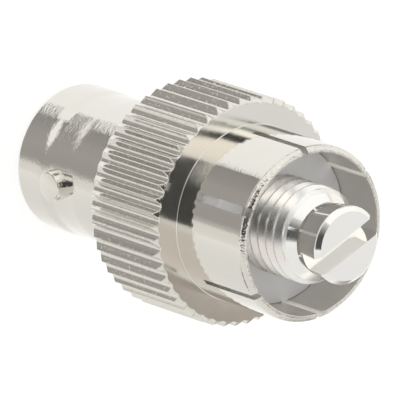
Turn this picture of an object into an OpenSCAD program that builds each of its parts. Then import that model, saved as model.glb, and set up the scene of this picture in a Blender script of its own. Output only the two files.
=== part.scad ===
// Screw-in coaxial adapter: a bayonet jack at the foot, a fluted grip ring in the middle,
// and a slotted crown with a threaded centre post at the top.
// The axis is Z. The jack's rim lies on Z = 0, and one bayonet lug points along +X.

/* [Bayonet barrel] */
// Outside diameter of the bayonet barrel
barrel_d = 9.65; // [9.4:0.01:10]
// Length of the barrel from its rim to the back of the grip
barrel_length = 10.9; // [9.5:0.1:13]
// Bore diameter at the mouth of the jack
mouth_d = 8.13; // [7.8:0.01:8.3]
// Depth of the mouth bore
mouth_depth = 5.2; // [4:0.1:6]
// Bore diameter behind the mouth
throat_d = 7; // [6.2:0.05:7.5]
// Depth of the jack from its rim to its floor
socket_depth = 8.8; // [7.8:0.1:9.6]
// Thickness of the web at the floor of the jack
web_t = 2; // [1:0.1:2.5]
// Chamfer on the edges of the rim
rim_chamfer = 0.2; // [0.05:0.01:0.3]
// Diameter of the barrel's tail, which sits inside the grip
tail_d = 9; // [8.6:0.05:9.2]

/* [Bayonet lugs] */
// Diameter of a lug
lug_d = 2; // [1.6:0.05:2.2]
// Distance over the ends of the two lugs
lug_span = 11.02; // [10.4:0.01:11.6]
// Distance from the rim to the middle of the lugs
lug_z = 4.25; // [3.6:0.05:5.4]
// Chamfer on the end of a lug
lug_chamfer = 0.12; // [0.05:0.01:0.25]

/* [Relief band] */
// Distance from the rim to the start of the shallow band round the lugs
relief_start = 2.45; // [1.5:0.05:2.8]
// Width of the band, with its sloping sides
relief_w = 3.3; // [2.8:0.05:4.5]
// Width of each sloping side
relief_slope_w = 0.7; // [0.3:0.05:1]
// Depth of the band
relief_depth = 0.09; // [0.03:0.01:0.15]

/* [Grip] */
// Outside diameter of the grip
grip_d = 15; // [14:0.1:18]
// Length of the grip
grip_length = 6.9; // [6:0.1:9]
// Distance from one flute to the next, round the grip
flute_pitch = 0.9425; // [0.8:0.0025:1.4]
// Width of the narrow land that is left between two flutes
flute_land = 0.12; // [0.05:0.01:0.25]
// Chamfer on both ends of the grip
grip_chamfer = 0.35; // [0.1:0.05:0.5]

/* [Crown] */
// Outside diameter of the crown
crown_d = 11.5; // [11:0.05:12.5]
// Wall of the crown's fingers
crown_wall = 0.48; // [0.42:0.01:0.7]
// Height of the crown above the grip
crown_reach = 6.6; // [6:0.1:8]
// Height of the crown's floor above the grip
crown_floor = 0.5; // [0.3:0.05:0.9]
// Number of slots, always even
slot_pairs = 3; // [2:1:4]
// Width of a slot
slot_w = 0.5; // [0.3:0.02:0.9]
// Length of a slot from the tip of the crown
slot_length = 5.1; // [3:0.1:5.3]
// Turn of the slots from the lugs
crown_turn = 34; // [0:1:60]
// Chamfer round the outside of the crown's tip
crown_chamfer = 0.28; // [0.1:0.02:0.32]
// Chamfer round the inside of the crown's tip
cup_chamfer = 0.06; // [0.03:0.01:0.08]
// Diameter of the crown's spigot, which sits inside the grip
spigot_d = 10; // [9.6:0.05:10.6]
// Depth of the spigot in the grip
spigot_depth = 3.5; // [2.5:0.1:3.8]
// Bore through the crown's floor and spigot
spigot_bore_d = 6.6; // [5:0.1:8]

/* [Beads] */
// Diameter of the rear bead's sleeve
sleeve_d = 4.75; // [4.5:0.01:4.9]
// Set-back of the sleeve from the rim
sleeve_setback = 0.5; // [0.2:0.1:1.5]
// Diameter of the rear bead's flange
flange_d = 7.4; // [6.6:0.05:7.8]
// Set-back of the front bead's face from the tip of the crown
front_setback = 3.5; // [3:0.1:5]

/* [Socket contact] */
// Outside diameter of the socket
socket_d = 2.2; // [2:0.05:2.6]
// Bore of the socket, for the plug's pin
socket_bore_d = 1.36; // [1.3:0.01:1.45]
// Depth of the socket's bore
socket_bore_depth = 5.5; // [4.5:0.1:6.5]
// Set-back of the socket from the sleeve's end
socket_setback = 0.4; // [0.1:0.1:1]
// Width of the slots across the socket
socket_slot_w = 0.2; // [0.1:0.02:0.24]
// Length of the slots across the socket
socket_slot_length = 3.5; // [2:0.1:4]
// Diameter of the stud that the post screws on to
stud_d = 1.6; // [1.3:0.05:1.8]
// Length of the stud inside the post
stud_grip = 3; // [2:0.1:5]

/* [Centre post] */
// Outside diameter of the post's thread
thread_d = 6.35; // [5.6:0.05:7]
// Length of the thread in front of the front bead
thread_length = 4.15; // [3:0.05:6]
// Distance from one ridge of the thread to the next
thread_pitch = 0.8; // [0.6:0.05:1]
// Depth of the thread
thread_depth = 0.42; // [0.2:0.02:0.5]
// Diameter of the post's plain nose at its end
nose_d = 5.08; // [4:0.02:5.4]
// Diameter of the nose at its foot
nose_foot_d = 4.72; // [4:0.02:5.4]
// Height of the sloping shoulder between the thread and the nose
shoulder_h = 0.67; // [0.3:0.01:1]
// Length of the nose in front of the thread, with its sloping shoulder
nose_length = 2.95; // [2:0.05:4]
// Chamfer on the end of the nose
nose_chamfer = 0.3; // [0.1:0.02:0.4]
// Diameter of the shank behind the thread
shank_d = 3.2; // [2.6:0.1:4]
// Width of the screwdriver slot
driver_slot_w = 1.2; // [0.8:0.05:1.6]
// Depth of the screwdriver slot
driver_slot_depth = 1.7; // [0.8:0.05:1.8]
// Turn of the screwdriver slot from the lugs
driver_slot_turn = 23; // [0:1:180]
// Space left past the stud in the post's bore
stud_relief = 0.3; // [0.1:0.1:0.6]

/* [Fits] */
// Clearance on the radius between a piece and the bore that it sits in
fit_gap = 0.02; // [0.01:0.01:0.05]

/* [Hidden] */
$fn = 96;
past = 1;

grip_z = barrel_length;
face_z = grip_z + grip_length;
web_z = socket_depth + web_t;
seat_z = face_z - spigot_depth;
floor_z = face_z + crown_floor;
tip_z = face_z + crown_reach;
front_bead_z = tip_z - front_setback;
thread_end_z = front_bead_z + thread_length;
post_end_z = thread_end_z + nose_length;
socket_z = sleeve_setback + socket_setback;
step_z = (web_z + seat_z) / 2;

barrel_r = barrel_d / 2;
grip_r = grip_d / 2;
crown_r = crown_d / 2;
cup_r = crown_r - crown_wall;
flute_r = (flute_pitch - flute_land) / 2;
flute_count = 2 * round(PI * grip_d / flute_pitch / 2);

// Ring of square section between two radii, standing on height z
module ring(r_in, r_out, z, h) {
    translate([0, 0, z]) rotate_extrude() translate([r_in, 0]) square([r_out - r_in, h]);
}

// One lug: a stub that starts inside the barrel's wall and ends in a small chamfer
module lug() {
    root_x = barrel_r - (barrel_d - mouth_d) / 4;
    stub_h = lug_span / 2 - lug_chamfer - root_x;
    translate([root_x, 0, lug_z]) rotate([0, 90, 0]) {
        cylinder(d = lug_d, h = stub_h);
        translate([0, 0, stub_h]) cylinder(r1 = lug_d / 2, r2 = lug_d / 2 - lug_chamfer, h = lug_chamfer);
    }
}

// Stepped bore of the barrel: jack, web and the chamber for the rear bead's flange
module barrel_bore() {
    mouth_r = mouth_d / 2;
    throat_r = throat_d / 2;
    sleeve_r = sleeve_d / 2 + fit_gap;
    flange_r = flange_d / 2 + fit_gap;
    rotate_extrude() polygon([
        [0, -past],
        [mouth_r + rim_chamfer, -past],
        [mouth_r + rim_chamfer, 0],
        [mouth_r, rim_chamfer],
        [mouth_r, mouth_depth],
        [throat_r, mouth_depth + mouth_r - throat_r],
        [throat_r, socket_depth],
        [sleeve_r, socket_depth],
        [sleeve_r, web_z],
        [flange_r, web_z],
        [flange_r, seat_z + past],
        [0, seat_z + past],
    ]);
}

// Bayonet barrel: chamfered rim, shallow band, two lugs, and a tail that stands in the grip
module barrel() {
    relief_r = barrel_r - relief_depth;
    relief_end = relief_start + relief_w;
    color("gainsboro") difference() {
        union() {
            rotate_extrude() polygon([
                [0, 0],
                [barrel_r - rim_chamfer, 0],
                [barrel_r, rim_chamfer],
                [barrel_r, relief_start],
                [relief_r, relief_start + relief_slope_w],
                [relief_r, relief_end - relief_slope_w],
                [barrel_r, relief_end],
                [barrel_r, grip_z],
                [tail_d / 2, grip_z],
                [tail_d / 2, seat_z],
                [0, seat_z],
            ]);
            for (turn = [0, 180]) rotate(turn) lug();
        }
        barrel_bore();
    }
}

// Grip ring: both ends chamfered, round flutes along it, one bore for the tail and one for the crown's spigot
module grip() {
    tail_r = tail_d / 2 + fit_gap;
    spigot_r = spigot_d / 2 + fit_gap;
    color("gainsboro") difference() {
        rotate_extrude() polygon([
            [tail_r, grip_z],
            [grip_r - grip_chamfer, grip_z],
            [grip_r, grip_z + grip_chamfer],
            [grip_r, face_z - grip_chamfer],
            [grip_r - grip_chamfer, face_z],
            [spigot_r, face_z],
            [spigot_r, seat_z],
            [tail_r, seat_z],
        ]);
        for (i = [0 : flute_count - 1])
            rotate(i * 360 / flute_count) translate([grip_r, 0, grip_z - past])
                cylinder(r = flute_r, h = grip_length + 2 * past);
    }
}

// Spring crown: spigot, floor and a cup that is slotted into fingers
module crown_contact() {
    spigot_r = spigot_d / 2;
    bore_r = spigot_bore_d / 2;
    color("gainsboro") difference() {
        rotate_extrude() polygon([
            [bore_r, seat_z],
            [spigot_r, seat_z],
            [spigot_r, face_z],
            [crown_r, face_z],
            [crown_r, tip_z - crown_chamfer],
            [crown_r - crown_chamfer, tip_z],
            [cup_r + cup_chamfer, tip_z],
            [cup_r, tip_z - cup_chamfer],
            [cup_r, floor_z],
            [bore_r, floor_z],
        ]);
        for (i = [0 : slot_pairs - 1])
            rotate(crown_turn + i * 180 / slot_pairs)
                translate([-crown_r - past, -slot_w / 2, tip_z - slot_length])
                    cube([crown_d + 2 * past, slot_w, slot_length + past]);
    }
}

// Rear insulator: sleeve through the web, flange in front of it, stepped bore for the socket
module rear_bead() {
    socket_r = socket_d / 2 + fit_gap;
    stud_r = stud_d / 2 + fit_gap;
    color("whitesmoke") rotate_extrude() polygon([
        [socket_r, sleeve_setback],
        [sleeve_d / 2, sleeve_setback],
        [sleeve_d / 2, web_z],
        [flange_d / 2, web_z],
        [flange_d / 2, seat_z],
        [stud_r, seat_z],
        [stud_r, step_z],
        [socket_r, step_z],
    ]);
}

// Front insulator: a disc on the crown's floor, held by the shoulder of the post
module front_bead() {
    color("lightgray")
        ring(shank_d / 2 + fit_gap, cup_r - fit_gap, floor_z, front_bead_z - floor_z);
}

// Socket for the plug's pin, slotted crosswise, with a stud behind it
module socket_contact() {
    color("silver") difference() {
        rotate_extrude() polygon([
            [socket_bore_d / 2, socket_z],
            [socket_d / 2, socket_z],
            [socket_d / 2, step_z],
            [stud_d / 2, step_z],
            [stud_d / 2, seat_z + stud_grip],
            [0, seat_z + stud_grip],
            [0, socket_z + socket_bore_depth],
            [socket_bore_d / 2, socket_z + socket_bore_depth],
        ]);
        for (turn = [45, 135])
            rotate(turn) translate([-socket_d, -socket_slot_w / 2, socket_z - past])
                cube([2 * socket_d, socket_slot_w, socket_slot_length + past]);
    }
}

// Post: shank with a bore for the stud, thread, shoulder, nose and screwdriver slot.
// The thread is a row of ridges, with a full ridge at each end.
module centre_post() {
    stud_r = stud_d / 2 + fit_gap;
    bore_end_z = seat_z + stud_grip + stud_relief;
    thread_r = thread_d / 2;
    root_r = thread_r - thread_depth;
    crest_w = thread_pitch / 8;
    groove_count = round((thread_length - crest_w) / thread_pitch);
    groove_w = (thread_length - crest_w) / groove_count - crest_w;
    flank_w = (groove_w - crest_w) / 2;
    color("white") difference() {
        rotate_extrude() polygon([
            [stud_r, seat_z],
            [shank_d / 2, seat_z],
            [shank_d / 2, front_bead_z],
            [thread_r, front_bead_z],
            for (i = [0 : groove_count - 1])
                let (groove_z = front_bead_z + crest_w + i * (groove_w + crest_w)) each [
                    [thread_r, groove_z],
                    [root_r, groove_z + flank_w],
                    [root_r, groove_z + groove_w - flank_w],
                    [thread_r, groove_z + groove_w],
                ],
            [thread_r, thread_end_z],
            [nose_foot_d / 2, thread_end_z + shoulder_h],
            [nose_d / 2, post_end_z - nose_chamfer],
            [nose_d / 2 - nose_chamfer, post_end_z],
            [0, post_end_z],
            [0, bore_end_z],
            [stud_r, bore_end_z],
        ]);
        rotate(driver_slot_turn)
            translate([-thread_d, -driver_slot_w / 2, post_end_z - driver_slot_depth])
                cube([2 * thread_d, driver_slot_w, driver_slot_depth + past]);
    }
}

barrel();
grip();
crown_contact();
rear_bead();
front_bead();
socket_contact();
centre_post();
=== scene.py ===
import math

import bmesh
import bpy
from mathutils import Matrix, Vector


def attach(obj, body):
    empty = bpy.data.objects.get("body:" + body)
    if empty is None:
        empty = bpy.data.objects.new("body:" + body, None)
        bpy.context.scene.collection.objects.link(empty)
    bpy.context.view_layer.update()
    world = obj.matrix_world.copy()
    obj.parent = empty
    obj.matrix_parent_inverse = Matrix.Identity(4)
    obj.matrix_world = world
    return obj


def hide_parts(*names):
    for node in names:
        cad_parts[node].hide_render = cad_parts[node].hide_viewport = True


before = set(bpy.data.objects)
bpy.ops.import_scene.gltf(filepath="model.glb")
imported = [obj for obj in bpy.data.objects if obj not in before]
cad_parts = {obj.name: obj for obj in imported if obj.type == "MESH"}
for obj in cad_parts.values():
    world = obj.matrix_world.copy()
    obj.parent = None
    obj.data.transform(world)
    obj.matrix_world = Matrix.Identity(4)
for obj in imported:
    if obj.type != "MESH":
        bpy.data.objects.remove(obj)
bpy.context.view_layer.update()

# Barrel: the bayonet jack's tube with its two locking lugs, turned from brass bar and nickel plated.
# The part stands on its rim, and its tail is screwed into the back of the grip ring.
# Sizes are in mm, and a finished mesh is brought to metres when it becomes a piece.
mm = 0.001
merge_gap, on_plane = 1e-5, 1e-4
# Rows of points this close to an edge hold the runs beside it straight where the shading is smooth
hold = 0.025
long_run = 10 * hold


def wire(corners, closed=True):
    """A bmesh with one outline of (radius, height, rounding) corners, in the XZ plane."""
    bm = bmesh.new()
    verts = [bm.verts.new((radius, 0, height)) for radius, height, _ in corners]
    for start, end in zip(verts, verts[1:]):
        bm.edges.new((start, end))
    if closed:
        bm.edges.new((verts[-1], verts[0]))
    for vert, (_, _, rounding) in zip(verts, corners):
        if rounding:
            bmesh.ops.bevel(bm, geom=[vert], offset=rounding, offset_type="OFFSET", segments=5,
                            profile=0.5, affect="VERTICES", material=-1)
    for edge in [e for e in bm.edges if e.calc_length() > long_run]:
        start, end = (v.co.copy() for v in edge.verts)
        step = (end - start).normalized() * hold
        inner = bmesh.ops.subdivide_edges(bm, edges=[edge], cuts=2)["geom_inner"]
        near, far = sorted((v for v in inner if isinstance(v, bmesh.types.BMVert)),
                           key=lambda v: (v.co - start).length)
        near.co, far.co = start + step, end - step
    return bm


def turned(corners, steps, closed=True):
    """The outline turned a full circle round the part's axis."""
    bm = wire(corners, closed)
    bmesh.ops.spin(bm, geom=bm.verts[:] + bm.edges[:], cent=(0, 0, 0), axis=(0, 0, 1), dvec=(0, 0, 0),
                   angle=2 * math.pi, steps=steps, use_merge=True)
    bmesh.ops.remove_doubles(bm, verts=bm.verts, dist=merge_gap)
    bmesh.ops.recalc_face_normals(bm, faces=bm.faces)
    return bm


def laid_out(bm, name, finishes):
    """The bmesh as an object in the scene, with its materials."""
    mesh = bpy.data.meshes.new(name)
    bm.to_mesh(mesh)
    bm.free()
    for finish in finishes:
        mesh.materials.append(finish)
    obj = bpy.data.objects.new(name, mesh)
    bpy.context.scene.collection.objects.link(obj)
    return obj


def piece(bm, name, node, finishes, crease):
    """The bmesh as a piece in metres that rides on the part and stands for its CAD node.

    Its edges are sharp where they turn by more than crease, in degrees.
    """
    bmesh.ops.scale(bm, vec=(mm, mm, mm), verts=bm.verts)
    for face in bm.faces:
        face.smooth = True
    for edge in bm.edges:
        edge.smooth = edge.calc_face_angle(0) < math.radians(crease)
    obj = laid_out(bm, name, finishes)
    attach(obj, "root")
    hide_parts(node)


def blank(name):
    """A new material, with its node tree and its shader."""
    mat = bpy.data.materials.new(name)
    mat.use_nodes = True
    return mat, mat.node_tree, mat.node_tree.nodes["Principled BSDF"]


def noise(tree, where, scale, detail):
    """A socket with noise from 0 to 1 over the coordinates of another socket."""
    texture = tree.nodes.new("ShaderNodeTexNoise")
    texture.inputs["Scale"].default_value = scale
    texture.inputs["Detail"].default_value = detail
    tree.links.new(where, texture.inputs["Vector"])
    return texture.outputs["Fac"]


def from_axis(tree, where):
    """A socket with the distance from the part's axis."""
    flat = tree.nodes.new("ShaderNodeVectorMath")
    flat.operation = "MULTIPLY"
    flat.inputs[1].default_value = (1, 1, 0)
    tree.links.new(where, flat.inputs[0])
    radius = tree.nodes.new("ShaderNodeVectorMath")
    radius.operation = "LENGTH"
    tree.links.new(flat.outputs["Vector"], radius.inputs[0])
    return radius.outputs["Value"]


def between(tree, share, first, second):
    """A socket with a colour between two others, by a share from 0 to 1."""
    mix = tree.nodes.new("ShaderNodeMix")
    mix.data_type = "RGBA"
    mix.inputs["A"].default_value = (*first, 1)
    mix.inputs["B"].default_value = (*second, 1)
    tree.links.new(share, mix.inputs["Factor"])
    return mix.outputs["Result"]


def uneven(tree, shader, share, low, high):
    """Gives the shader a roughness between low and high, by a share from 0 to 1."""
    spread = tree.nodes.new("ShaderNodeMapRange")
    spread.inputs["To Min"].default_value = low
    spread.inputs["To Max"].default_value = high
    tree.links.new(share, spread.inputs["Value"])
    tree.links.new(spread.outputs["Result"], shader.inputs["Roughness"])


def embossed(tree, shader, height, depth):
    """Gives the shader a bump by a height from 0 to 1, that many mm deep."""
    bump = tree.nodes.new("ShaderNodeBump")
    bump.inputs["Strength"].default_value = 1
    bump.inputs["Distance"].default_value = depth * mm
    tree.links.new(height, bump.inputs["Height"])
    tree.links.new(bump.outputs["Normal"], shader.inputs["Normal"])


def plated(name, colour, roughness, lay_pitch, lay_length, lay_depth, anisotropy=0, pits=0):
    """Polished plate over a turned surface: short dashes of the lathe's lay, and a little uneven polish.

    Its pits are specks in the plating, that many mm deep.
    """
    mat, tree, shader = blank(name)
    shader.inputs["Metallic"].default_value = 1
    place = tree.nodes.new("ShaderNodeTexCoord").outputs["Object"]

    # The lay follows height on walls and radius on faces, and runs on round the axis for its length
    axes = tree.nodes.new("ShaderNodeSeparateXYZ")
    tree.links.new(place, axes.inputs["Vector"])
    along = tree.nodes.new("ShaderNodeMath")
    along.operation = "ADD"
    tree.links.new(from_axis(tree, place), along.inputs[0])
    tree.links.new(axes.outputs["Z"], along.inputs[1])
    grain = tree.nodes.new("ShaderNodeCombineXYZ")
    tree.links.new(axes.outputs["X"], grain.inputs["X"])
    tree.links.new(axes.outputs["Y"], grain.inputs["Y"])
    tree.links.new(along.outputs["Value"], grain.inputs["Z"])
    stretch = tree.nodes.new("ShaderNodeVectorMath")
    stretch.operation = "MULTIPLY"
    stretch.inputs[1].default_value = [1 / (size * mm) for size in (lay_length, lay_length, lay_pitch)]
    tree.links.new(grain.outputs["Vector"], stretch.inputs[0])
    height = noise(tree, stretch.outputs["Vector"], scale=1, detail=2)
    if pits:
        sparse = tree.nodes.new("ShaderNodeMapRange")
        sparse.inputs["From Min"].default_value = 0.66
        sparse.inputs["From Max"].default_value = 0.74
        tree.links.new(noise(tree, place, scale=6500, detail=1), sparse.inputs["Value"])
        relief = tree.nodes.new("ShaderNodeMath")
        relief.operation = "MULTIPLY_ADD"
        relief.inputs[1].default_value = -pits / lay_depth
        tree.links.new(sparse.outputs["Result"], relief.inputs[0])
        tree.links.new(height, relief.inputs[2])
        height = relief.outputs["Value"]
    embossed(tree, shader, height, lay_depth)

    polish_spread, dull_tone = 0.25, 0.97
    polish = noise(tree, place, scale=900, detail=3)
    uneven(tree, shader, polish, low=roughness * (1 - polish_spread), high=roughness * (1 + polish_spread))
    dulled = [c * dull_tone for c in colour]
    tree.links.new(between(tree, polish, dulled, colour), shader.inputs["Base Color"])
    if anisotropy:
        shader.inputs["Anisotropic"].default_value = anisotropy
        shader.inputs["Anisotropic Rotation"].default_value = 0.25
        tangent = tree.nodes.new("ShaderNodeTangent")
        tangent.direction_type = "RADIAL"
        tangent.axis = "Z"
        tree.links.new(tangent.outputs["Tangent"], shader.inputs["Tangent"])
    return mat


nickel_colour = (0.80, 0.785, 0.745)
barrel_nickel = plated("barrel_nickel", nickel_colour, roughness=0.08,
                       lay_pitch=0.15, lay_length=0.24, lay_depth=0.010)
fit_gap = 0.02
barrel_radius, barrel_end, rim_chamfer = 4.825, 10.9, 0.2
relief_start, relief_end, relief_slope = 2.45, 5.75, 0.7
relief_radius, relief_front_radius = 4.71, 4.77
mouth_radius, mouth_depth, throat_radius = 4.065, 5.2, 3.5
web_back, web_front, tail_radius, tail_end = 8.8, 10.8, 4.5, 14.3
sleeve_radius, flange_radius = 2.375, 3.7
web_bore, pocket_radius = sleeve_radius + fit_gap, flange_radius + fit_gap
barrel = turned([
    (mouth_radius + rim_chamfer, 0, 0.04), (barrel_radius - rim_chamfer, 0, 0.05),
    (barrel_radius, rim_chamfer, 0.08),
    (barrel_radius, relief_start, 0.25), (relief_radius, relief_start + relief_slope, 0.3),
    (relief_front_radius, relief_end - relief_slope, 0.3), (barrel_radius, relief_end, 0.25),
    (barrel_radius, barrel_end, 0), (tail_radius, barrel_end, 0), (tail_radius, tail_end, 0),
    (pocket_radius, tail_end, 0), (pocket_radius, web_front, 0),
    (web_bore, web_front, 0), (web_bore, web_back, 0), (throat_radius, web_back, 0.1),
    (throat_radius, mouth_depth + mouth_radius - throat_radius, 0.1),
    (mouth_radius, mouth_depth, 0.1), (mouth_radius, rim_chamfer, 0.05),
], steps=256)
lug_radius, lug_foot, lug_end, lug_height, lug_round = 1.0, 4.3, 5.51, 4.25, 0.12
lug_middle = (lug_foot + lug_end) / 2
for turn in (0, math.pi):
    place_lug = (Matrix.Rotation(turn, 4, "Z") @ Matrix.Translation((lug_middle, 0, lug_height))
                 @ Matrix.Rotation(math.pi / 2, 4, "Y"))
    stub = bmesh.ops.create_cone(barrel, cap_ends=True, segments=64, radius1=lug_radius, radius2=lug_radius,
                                 depth=lug_end - lug_foot, matrix=place_lug)["verts"]
    outer = {v for v in stub if v.co.xy.length > lug_middle}
    rim = [e for e in barrel.edges if e.verts[0] in outer and e.verts[1] in outer]
    bmesh.ops.bevel(barrel, geom=rim, offset=lug_round, offset_type="OFFSET", segments=4, profile=0.5,
                    affect="EDGES", material=-1)
piece(barrel, "barrel_turned", "barrel", [barrel_nickel], crease=30)

# Grip ring: a brass ring with round flutes cut along its outside, nickel plated like the barrel.
# Its front face keeps the rings of the lathe tool, and the barrel and the crown are screwed into its bores.
flutes, flute_steps, flute_depth, crest_pinch = 50, 20, 0.39, 0.6
grip_radius, grip_front, grip_chamfer, brink = 7.5, 17.8, 0.34, 0.05
spigot_radius, crown_radius, face_slope = 5.0, 5.75, 0.042
tail_bore, spigot_bore = tail_radius + fit_gap, spigot_radius + fit_gap


def drawn_out(bm, loop, place):
    """The open loop of edges drawn out to a new loop, with each new corner where place puts it."""
    out = bmesh.ops.extrude_edge_only(bm, edges=loop)["geom"]
    fresh = {v for v in out if isinstance(v, bmesh.types.BMVert)}
    for vert in fresh:
        vert.co = place(vert.co)
    return [e for e in out if isinstance(e, bmesh.types.BMEdge) and set(e.verts) <= fresh]


def round_row(radius, height):
    """Places a loop's corners on a circle."""
    return lambda co: Vector((*(co.xy.normalized() * radius), height))


def flute_wall(co):
    """The fluted wall's radius in the direction of a corner."""
    return grip_radius - flute_depth * (1 + math.cos(flutes * math.atan2(co.y, co.x))) / 2


def flat_edge(wall):
    """The radius at which the flat of an end stops: at the chamfer, or just inside the fluted wall."""
    return min(grip_radius - grip_chamfer, wall - brink - 2 * hold)


def end_row(radius_at, sink, end, way, slope):
    """Places a loop's corners at an end of the ring, that far below its face and its chamfered rim.

    The radius follows from that of the fluted wall, and the face falls by slope towards its rim.
    The way is 1 for the end that faces up and -1 for the other.
    """
    def place(co):
        radius = radius_at(flute_wall(co))
        drop = sink + max(0, radius - grip_radius + grip_chamfer) + slope * (radius - crown_radius)
        return Vector((*(co.xy.normalized() * radius), end - way * drop))
    return place


face_share, brink_turn = 0.9, 0.3 * brink
# The rows from the flat of an end over its brink to the wall, as (radius from the wall's, depth below)
flute_ends = [
    (lambda wall: crown_radius + face_share * (flat_edge(wall) - crown_radius), 0),
    (lambda wall: flat_edge(wall) - hold, 0),
    (flat_edge, 0),
    (lambda wall: wall - brink - hold, 0),
    (lambda wall: wall - brink, 0),
    (lambda wall: wall - brink_turn, brink_turn),
    (lambda wall: wall, brink),
    (lambda wall: wall, brink + hold),
]
grip_rows = [round_row(tail_bore, barrel_end)]
grip_rows += [end_row(radius_at, sink, barrel_end, way=-1, slope=0) for radius_at, sink in flute_ends]
grip_rows += [end_row(radius_at, sink, grip_front, way=1, slope=face_slope)
              for radius_at, sink in reversed(flute_ends)]
grip_rows += [round_row(crown_radius, grip_front), round_row(spigot_bore, grip_front),
              round_row(spigot_bore, tail_end), round_row(tail_bore, tail_end)]
grip = bmesh.new()
bmesh.ops.create_circle(grip, segments=flutes * flute_steps, radius=tail_bore,
                        matrix=Matrix.Translation((0, 0, tail_end)))
open_loop = grip.edges[:]
for row in grip_rows:
    open_loop = drawn_out(grip, open_loop, row)
bmesh.ops.remove_doubles(grip, verts=grip.verts, dist=merge_gap)
# Near the wall the corners move round towards the crests, so that the crests are narrow
pinch_from = 7.0
for vert in (v for v in grip.verts if v.co.xy.length > pinch_from):
    turn = math.atan2(vert.co.y, vert.co.x)
    vert.co.rotate(Matrix.Rotation(crest_pinch * math.sin(flutes * turn) / flutes, 3, "Z"))
bmesh.ops.recalc_face_normals(grip, faces=grip.faces)
grip_nickel = plated("grip_nickel", nickel_colour, roughness=0.1,
                     lay_pitch=0.2, lay_length=0.4, lay_depth=0.004, pits=0.02)
face_nickel = plated("face_nickel", nickel_colour, roughness=0.13,
                     lay_pitch=0.15, lay_length=1.5, lay_depth=0.001, anisotropy=0.6)
grip_finishes = [grip_nickel, face_nickel]
level_enough = 0.95
for face in grip.faces:
    finish = face_nickel if abs(face.normal.z) > level_enough else grip_nickel
    face.material_index = grip_finishes.index(finish)
piece(grip, "grip_fluted", "grip", grip_finishes, crease=40)

# Crown: a thin turned cup of spring brass, slotted into fingers so that it grips what it is pushed into.
# Its spigot is screwed into the front of the grip ring, and its foot sits on the ring's face.
def split(bm, point, normal, clear=False):
    """Cuts the whole bmesh along a plane, and clears what lies beyond it if asked to."""
    bmesh.ops.bisect_plane(bm, geom=bm.verts[:] + bm.edges[:] + bm.faces[:], dist=merge_gap,
                           plane_co=point, plane_no=normal, clear_outer=clear)


def level_edges(edges, height):
    """Those of the edges that lie at a height."""
    return [e for e in edges if all(abs(v.co.z - height) < on_plane for v in e.verts)]


def joined_groups(edges):
    """The edges in groups that hang together."""
    groups, rest = [], list(edges)
    while rest:
        group = [rest.pop()]
        for edge in group:
            near = [e for v in edge.verts for e in v.link_edges if e in rest]
            rest = [e for e in rest if e not in near]
            group += near
        groups.append(group)
    return groups


def slotted(bm, cuts, floor):
    """Saw cuts across the axis, down to the height floor, with their walls and floors closed.

    Each cut is (turn round the axis, width).
    """
    sawn = [(Vector((-math.sin(turn), math.cos(turn), 0)), width / 2) for turn, width in cuts]
    for across, half in sawn:
        for side in (-half, half):
            split(bm, across * side, across)
    split(bm, (0, 0, floor), (0, 0, 1))
    for across, half in sawn:
        gone = [f for f in bm.faces if f.calc_center_median().z > floor
                and abs(f.calc_center_median().dot(across)) < half]
        bmesh.ops.delete(bm, geom=gone, context="FACES")
        for gap in joined_groups(e for e in bm.edges if e.is_boundary):
            sills = []
            for side in (-half, half):
                wall = [e for e in gap if all(abs(v.co.dot(across) - side) < on_plane for v in e.verts)]
                feet = {v for e in wall for v in e.verts if abs(v.co.z - floor) < on_plane}
                sills.append(bm.edges.new(list(feet)))
                bmesh.ops.contextual_create(bm, geom=wall + sills[-1:])
            bmesh.ops.contextual_create(bm, geom=level_edges(gap, floor) + sills)
    bmesh.ops.recalc_face_normals(bm, faces=bm.faces)


crown_tip, crown_chamfer, foot_land, foot_flare = 24.4, 0.28, 0.01, 0.04
spigot_hole, bead_radius, cup_floor = 3.3, 5.25, 18.3
cup_radius = bead_radius + fit_gap
crown_turn, slot_widths, slot_floor = math.radians(34), (0.42, 0.46, 0.56), 19.3
crown = turned([
    (spigot_hole, tail_end, 0), (spigot_radius, tail_end, 0), (spigot_radius, grip_front, 0),
    (crown_radius + foot_flare, grip_front, 0), (crown_radius + foot_flare, grip_front + foot_land, 0),
    (crown_radius, grip_front + foot_land + foot_flare, 0.02),
    (crown_radius, crown_tip - crown_chamfer, 0.1), (crown_radius - crown_chamfer, crown_tip, 0.08),
    (cup_radius, crown_tip, 0.05), (cup_radius, cup_floor, 0.1), (spigot_hole, cup_floor, 0),
], steps=288)
slot_step = math.pi / len(slot_widths)
slots = [(crown_turn + count * slot_step, width) for count, width in enumerate(slot_widths)]
slotted(crown, slots, slot_floor)
crown_nickel = plated("crown_nickel", nickel_colour, roughness=0.07,
                      lay_pitch=0.16, lay_length=0.3, lay_depth=0.003)
cup_nickel = plated("cup_nickel", nickel_colour, roughness=0.38,
                    lay_pitch=0.3, lay_length=0.7, lay_depth=0.002)
tip_nickel = plated("tip_nickel", nickel_colour, roughness=0.12,
                    lay_pitch=0.16, lay_length=0.22, lay_depth=0.05)
sawn_nickel = plated("sawn_nickel", nickel_colour, roughness=0.3,
                     lay_pitch=0.1, lay_length=0.4, lay_depth=0.003)
crown_finishes = [crown_nickel, cup_nickel, tip_nickel, sawn_nickel]
tip_depth, cup_margin, upright, sidelong = 0.3, 0.1, 0.9, 0.5
for face in crown.faces:
    middle = face.calc_center_median()
    outward = abs(face.normal.xy @ middle.xy.normalized())
    if middle.z > slot_floor and face.normal.xy.length > upright and outward < sidelong:
        finish = sawn_nickel
    elif middle.z > crown_tip - tip_depth:
        finish = tip_nickel
    elif middle.xy.length < cup_radius + fit_gap / 2 and middle.z > cup_floor - cup_margin:
        finish = cup_nickel
    else:
        finish = crown_nickel
    face.material_index = crown_finishes.index(finish)
piece(crown, "crown_slotted", "crown_contact", crown_finishes, crease=30)

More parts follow.
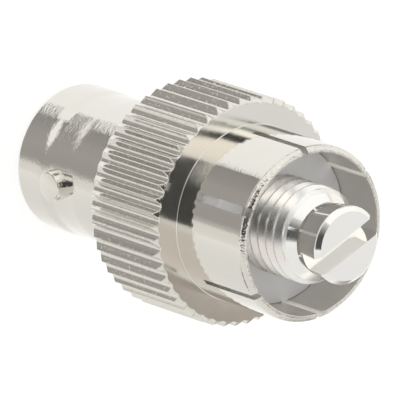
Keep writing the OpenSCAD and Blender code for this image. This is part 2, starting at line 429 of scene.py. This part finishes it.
# Rear bead: white PTFE, turned. Its sleeve stands in the jack round the socket,
# and its flange is held between the barrel's web and the crown's spigot.
def ptfe(name, colour):
    """Turned PTFE: waxy, slightly see-through, with faint rings from the tool."""
    mat, tree, shader = blank(name)
    shader.inputs["Subsurface Weight"].default_value = 0.15
    shader.inputs["Subsurface Radius"].default_value = (1, 1, 1)
    shader.inputs["Subsurface Scale"].default_value = 0.4 * mm
    place = tree.nodes.new("ShaderNodeTexCoord").outputs["Object"]
    rings = tree.nodes.new("ShaderNodeTexNoise")
    rings.noise_dimensions = "1D"
    rings.inputs["Scale"].default_value = 6000
    tree.links.new(from_axis(tree, place), rings.inputs["W"])
    embossed(tree, shader, rings.outputs["Fac"], depth=0.002)
    cloud = noise(tree, place, scale=700, detail=2)
    uneven(tree, shader, cloud, low=0.38, high=0.52)
    cloud_tone = 0.94
    clouded = [c * cloud_tone for c in colour]
    tree.links.new(between(tree, cloud, clouded, colour), shader.inputs["Base Color"])
    return mat


sleeve_back, socket_radius, socket_end, stud_radius = 0.5, 1.1, 12.55, 0.8
socket_hole, stud_hole = socket_radius + fit_gap, stud_radius + fit_gap
rear_bead = turned([
    (socket_hole, sleeve_back, 0.05), (sleeve_radius, sleeve_back, 0.12), (sleeve_radius, web_front, 0),
    (flange_radius, web_front, 0.1), (flange_radius, tail_end, 0),
    (stud_hole, tail_end, 0), (stud_hole, socket_end, 0), (socket_hole, socket_end, 0),
], steps=128)
white_ptfe = ptfe("white_ptfe", (0.84, 0.84, 0.82))
piece(rear_bead, "rear_bead_sleeve", "rear_bead", [white_ptfe], crease=30)

# Front bead: a turned disc of greyish PTFE on the floor of the crown's cup, with a hole for the post's shank.
# The lower end of the post's thread holds it down.
shank_radius, bead_face = 1.6, 20.9
shank_hole = shank_radius + fit_gap
front_bead = turned([
    (shank_hole, cup_floor, 0), (bead_radius, cup_floor, 0), (bead_radius, bead_face, 0.02),
    (shank_hole, bead_face, 0),
], steps=192)
grey_ptfe = ptfe("grey_ptfe", (0.90, 0.895, 0.91))
piece(front_bead, "front_bead_disc", "front_bead", [grey_ptfe], crease=30)

# Socket: the jack's centre contact, a silver-plated tube sawn crosswise into four springs.
# Its stud goes through the rear bead and screws into the post.
silver_colour = (0.97, 0.965, 0.95)
contact_silver = plated("contact_silver", silver_colour, roughness=0.14,
                        lay_pitch=0.3, lay_length=0.7, lay_depth=0.0005)
socket_back, pin_radius, pin_depth, stud_end = 0.9, 0.68, 6.4, 17.3
spring_slot, spring_end, spring_turns = 0.2, 4.4, (45, 135)
socket = turned([
    (0, pin_depth, 0), (pin_radius, pin_depth, 0), (pin_radius, socket_back, 0.05),
    (socket_radius, socket_back, 0.1), (socket_radius, socket_end, 0),
    (stud_radius, socket_end, 0), (stud_radius, stud_end, 0.1), (0, stud_end, 0),
], steps=96, closed=False)
# It is sawn upside down, because the saw comes from above
turn_over = Matrix.Rotation(math.pi, 3, "X")
bmesh.ops.rotate(socket, verts=socket.verts, cent=(0, 0, 0), matrix=turn_over)
slotted(socket, [(math.radians(turn), spring_slot) for turn in spring_turns], -spring_end)
bmesh.ops.rotate(socket, verts=socket.verts, cent=(0, 0, 0), matrix=turn_over)
piece(socket, "socket_sawn", "socket_contact", [contact_silver], crease=30)

# Post: silver-plated brass with a cut screw thread, a sloping shoulder, and a plain nose with a driver slot.
# It screws on to the socket's stud, and the thread's lower end clamps the front bead.
thread_pitch, thread_radius, root_radius = 0.8, 3.175, 2.758
thread_turns, thread_steps, thread_start, thread_end = 8, 120, 20.0, 25.19
crest_half, crest_round, root_half = 0.03, 0.02, 0.05
crest_height, flank_foot = thread_start + thread_pitch / 2, thread_pitch / 2 - root_half
# Rows up the thread's flank let its last turn run out without steps
flank_rows = 10
flank_shares = [0] + [(count + 0.5) / flank_rows for count in range(flank_rows)]
flank = [(root_radius + share * (thread_radius - root_radius), flank_foot + share * (crest_half - flank_foot))
         for share in flank_shares]
post = wire([(root_radius, thread_start, 0)]
            + [(radius, crest_height - fall, 0) for radius, fall in flank]
            + [(thread_radius, crest_height - crest_half, crest_round)]
            + [(thread_radius, crest_height + crest_half, crest_round)]
            + [(radius, crest_height + fall, 0) for radius, fall in reversed(flank)]
            + [(root_radius, thread_start + thread_pitch, 0)], closed=False)
bmesh.ops.spin(post, geom=post.verts[:] + post.edges[:], cent=(0, 0, 0), axis=(0, 0, 1),
               dvec=(0, 0, thread_pitch / thread_steps), angle=2 * math.pi * thread_turns,
               steps=thread_turns * thread_steps, use_merge=False)
bmesh.ops.remove_doubles(post, verts=post.verts, dist=on_plane)
split(post, (0, 0, bead_face), (0, 0, -1), clear=True)
split(post, (0, 0, thread_end), (0, 0, 1), clear=True)
foot_radius, shoulder_end, shoulder_slope = 2.36, 25.72, 1.15
for vert in post.verts:
    # What stands out past the shoulder's cone comes in to it
    widest = foot_radius + (shoulder_end - vert.co.z) / shoulder_slope
    if vert.co.xy.length > widest:
        vert.co.xy = vert.co.xy.normalized() * widest
nose_radius, nose_chamfer, nose_round, hold_taper, post_end = 2.54, 0.3, 0.12, 0.002, 28.0
chamfer_lean, lean_step = 45, 9
face_radius = nose_radius - nose_chamfer
wall_end = post_end - nose_chamfer - nose_round * math.tan(math.radians(chamfer_lean / 2))
nose = [round_row(foot_radius + hold, shoulder_end - hold * shoulder_slope),
        round_row(foot_radius, shoulder_end),
        round_row(foot_radius + hold_taper, shoulder_end + hold),
        round_row(nose_radius - hold_taper, wall_end - hold)]
for degrees in range(0, chamfer_lean + 1, lean_step):
    lean = math.radians(degrees)
    nose.append(round_row(nose_radius - nose_round * (1 - math.cos(lean)),
                          wall_end + nose_round * math.sin(lean)))
nose += [round_row(face_radius + hold, post_end - hold), round_row(face_radius, post_end),
         round_row(face_radius - hold, post_end)]
stud_relief = 0.3
bore = [round_row(shank_radius, bead_face), round_row(shank_radius, tail_end),
        round_row(stud_hole, tail_end), round_row(stud_hole, stud_end + stud_relief)]
for height, rows in ((thread_end, nose), (bead_face, bore)):
    open_loop = level_edges([e for e in post.edges if e.is_boundary], height)
    for row in rows:
        open_loop = drawn_out(post, open_loop, row)
    bmesh.ops.contextual_create(post, geom=open_loop)
bmesh.ops.recalc_face_normals(post, faces=post.faces)
driver_turn, driver_width, driver_floor = math.radians(23), 1.2, 26.3
slotted(post, [(driver_turn, driver_width)], driver_floor)
post_silver = plated("post_silver", silver_colour, roughness=0.1,
                     lay_pitch=0.3, lay_length=0.7, lay_depth=0.0005)
thread_silver = plated("thread_silver", silver_colour, roughness=0.27,
                       lay_pitch=0.2, lay_length=0.5, lay_depth=0.001)
post_finishes = [post_silver, thread_silver]
for face in post.faces:
    finish = thread_silver if face.calc_center_median().z < thread_end else post_silver
    face.material_index = post_finishes.index(finish)
piece(post, "post_threaded", "centre_post", post_finishes, crease=30)

# Stage: a white floor that keeps a faint shadow, and a white room.
# Cards from black to bright cream stand round the part, and only the metal's shine shows them.
floor_half, floor_glow = 3, 0.75
floor_bm = bmesh.new()
bmesh.ops.create_grid(floor_bm, x_segments=1, y_segments=1, size=floor_half)
white, tree, paint = blank("floor_white")
paint.inputs["Base Color"].default_value = (0.35, 0.35, 0.35, 1)
paint.inputs["Roughness"].default_value = 1
paint.inputs["Specular IOR Level"].default_value = 0
paint.inputs["Emission Color"].default_value = (1, 1, 1, 1)
seen = tree.nodes.new("ShaderNodeLightPath")
glow = tree.nodes.new("ShaderNodeMath")
glow.operation = "MULTIPLY"
glow.inputs[1].default_value = floor_glow
tree.links.new(seen.outputs["Is Camera Ray"], glow.inputs[0])
tree.links.new(glow.outputs["Value"], paint.inputs["Emission Strength"])
floor = laid_out(floor_bm, "floor", [white])
floor.visible_glossy = False

camera_turn, card_reach = math.radians(-26), 2


def card(name, tint, ribs):
    """A card that only shines on the metal, drawn rib by rib as (near corner, far corner, level).

    Its corners are directions from the part, with X towards the camera's side.
    The level is how bright its tint is.
    """
    bm = bmesh.new()
    shine = bm.verts.layers.float_color.new("shine")
    last = None
    for near, far, level in ribs:
        rib = [bm.verts.new(Vector(corner) * card_reach) for corner in (near, far)]
        for vert in rib:
            vert[shine] = (*[c * level for c in tint], 1)
        if last:
            bm.faces.new((*last, *reversed(rib)))
        last = rib
    bmesh.ops.rotate(bm, verts=bm.verts, cent=(0, 0, 0), matrix=Matrix.Rotation(camera_turn, 3, "Z"))
    mat, tree, matt = blank(name)
    matt.inputs["Base Color"].default_value = (0, 0, 0, 1)
    matt.inputs["Specular IOR Level"].default_value = 0
    matt.inputs["Emission Strength"].default_value = 1
    shades = tree.nodes.new("ShaderNodeAttribute")
    shades.attribute_name = "shine"
    tree.links.new(shades.outputs["Color"], matt.inputs["Emission Color"])
    obj = laid_out(bm, name, [mat])
    obj.visible_camera = obj.visible_diffuse = obj.visible_shadow = obj.visible_transmission = False


neutral, warm, lamp_white = (1, 1, 0.98), (1, 0.965, 0.91), (1, 0.97, 0.92)
cream, rose, beige = (1, 0.94, 0.87), (1, 0.935, 0.875), (1, 0.88, 0.77)
card("grey_card_below", warm, [
    ((0.22, -0.68, -1), (0.26, -0.77, -1), 0.30), ((0.45, -0.56, -1), (0.61, -0.645, -1), 0.30),
    ((0.53, -0.46, -1), (0.95, -0.95, -1), 0.33), ((0.57, -0.21, -1), (1.05, -0.38, -1), 0.40),
    ((0.54, -0.10, -1), (1.62, 0.04, -1), 0.42), ((0.40, 0.04, -1), (2.30, 0.55, -1), 0.40),
    ((0.36, 0.14, -1), (2.30, 0.90, -1), 0.40), ((0.35, 0.17, -1), (2.20, 1.07, -1), 0.50),
    ((0.34, 0.21, -1), (2.10, 1.30, -1), 0.82), ((0.26, 0.31, -1), (1.60, 1.90, -1), 1.0)])
# Soft flags stand all round near the horizon, as (turn in degrees, level), so that every side has its bands
flags = [(-45, 0.40), (25, 0.40), (33, 1), (58, 1), (66, 0.30), (84, 0.22), (88, 1), (126, 1),
         (140, 0.50), (158, 0.32), (162, 1), (188, 1), (192, 0.12), (203, 0.12), (207, 1), (236, 1),
         (250, 0.45), (272, 0.28), (276, 1), (298, 1), (315, 0.40)]
flag_foot, flag_top = -0.36, 0.06
flag_sides = [(math.cos(math.radians(turn)), math.sin(math.radians(turn)), level) for turn, level in flags]
card("horizon_flags", warm, [((x, y, flag_foot), (x, y, flag_top), level) for x, y, level in flag_sides])
card("black_card_above", neutral, [
    ((0.45, -0.50, 1), (0.70, -0.70, 1), 0.07), ((0.40, -0.12, 1), (1.08, -0.15, 1), 0.07),
    ((0.20, -0.02, 1), (1.62, -0.02, 1), 0.07), ((0.18, 0.22, 1), (1.70, 0.50, 1), 0.07),
    ((0.45, 0.45, 1), (1.35, 0.95, 1), 0.07)])
card("grey_slope_above", warm, [
    ((1.09, -0.14, 1), (1.60, -0.03, 1), 0.10), ((0.96, -0.50, 1), (1.45, -0.60, 1), 0.35),
    ((0.80, -0.75, 1), (1.15, -1.05, 1), 0.75)])
card("black_strip_above", neutral, [
    ((0.045, -0.58, 1), (0.11, -1.36, 1), 0.03), ((-0.11, -0.58, 1), (-0.25, -1.36, 1), 0.03)])
card("bright_strip_above", lamp_white, [
    ((-0.12, -0.60, 1), (-0.27, -1.33, 1), 1.5), ((-0.24, -0.58, 1), (-0.50, -1.26, 1), 1.5)])
card("dark_strip_above", neutral, [
    ((-0.27, -0.56, 1), (-0.58, -1.22, 1), 0.45), ((-0.31, -0.55, 1), (-0.66, -1.18, 1), 0.12),
    ((-0.35, -0.52, 1), (-0.75, -1.12, 1), 0.6)])
card("zenith_card", neutral, [
    ((-0.16, -0.16, 1), (-0.16, 0.16, 1), 0.5), ((0, -0.16, 1), (0, 0.16, 1), 0.7),
    ((0.16, -0.16, 1), (0.16, 0.16, 1), 1)])
card("grey_card_above", neutral, [
    ((-0.65, -0.44, 1), (-0.84, -0.63, 1), 0.2), ((-0.84, -0.21, 1), (-1.10, -0.31, 1), 0.2)])
card("beige_card_above", beige, [
    ((-0.50, 0.03, 1), (-1.50, 0.03, 1), 0.42), ((-0.50, 0.50, 1), (-1.50, 1.00, 1), 0.42)])
card("light_card_above", neutral, [
    ((-0.47, -0.21, 1), (-1.46, -0.21, 1), 0.86), ((-0.47, 0.03, 1), (-1.46, 0.03, 1), 0.86)])
card("cream_card_above", cream, [
    ((0.40, -0.50, 1), (0.80, -1.02, 1), 1.2), ((0.20, -0.56, 1), (0.42, -1.25, 1), 1.3),
    ((0.065, -0.58, 1), (0.155, -1.34, 1), 1.3)])
card("rose_card_above", rose, [
    ((0.38, 0.45, 1), (0.90, 1.00, 1), 0.82), ((0.02, 0.60, 1), (0.05, 1.35, 1), 0.8),
    ((-0.30, 0.52, 1), (-0.66, 1.15, 1), 0.9)])

world = bpy.data.worlds.new("white_room")
bpy.context.scene.world = world
world.use_nodes = True
tree = world.node_tree
where = tree.nodes.new("ShaderNodeTexCoord")
spin = tree.nodes.new("ShaderNodeVectorRotate")
spin.rotation_type = "Z_AXIS"
spin.inputs["Angle"].default_value = -camera_turn
tree.links.new(where.outputs["Generated"], spin.inputs["Vector"])
sides = tree.nodes.new("ShaderNodeSeparateXYZ")
tree.links.new(spin.outputs["Vector"], sides.inputs["Vector"])
fade = tree.nodes.new("ShaderNodeMapRange")
fade.interpolation_type = "SMOOTHSTEP"
fade.inputs["From Min"].default_value = 0.15
fade.inputs["From Max"].default_value = 0.75
tree.links.new(sides.outputs["Y"], fade.inputs["Value"])
lit_wall, dim_wall = (1.04, 1.03, 1.0), (0.84, 0.83, 0.80)
walls = between(tree, fade.outputs["Result"], lit_wall, dim_wall)
seen = tree.nodes.new("ShaderNodeLightPath")
backdrop = tree.nodes.new("ShaderNodeMix")
backdrop.data_type = "RGBA"
backdrop.inputs["B"].default_value = (1, 1, 1, 1)
tree.links.new(seen.outputs["Is Camera Ray"], backdrop.inputs["Factor"])
tree.links.new(walls, backdrop.inputs["A"])
tree.links.new(backdrop.outputs["Result"], tree.nodes["Background"].inputs["Color"])

# Camera: far off with a long lens, because the photograph's perspective is flat.
# It is rolled on its side, so that the part seems to lie.
camera_data = bpy.data.cameras.new("camera")
camera_data.lens = 972.9
camera_data.sensor_width = 36
camera = bpy.data.objects.new("camera", camera_data)
bpy.context.scene.collection.objects.link(camera)
bpy.context.scene.camera = camera
camera_rise, camera_roll, camera_reach = math.radians(49.09), math.radians(108.23), 0.7
aim = Vector((-0.005734, 0.002983, 0.005599))
back = Vector((math.cos(camera_rise) * math.cos(camera_turn), math.cos(camera_rise) * math.sin(camera_turn),
               math.sin(camera_rise)))
look = back.to_track_quat("Z", "Y").to_matrix().to_4x4() @ Matrix.Rotation(camera_roll, 4, "Z")
camera.matrix_world = Matrix.Translation(aim + back * camera_reach) @ look
bpy.context.scene.view_settings.view_transform = "Standard"
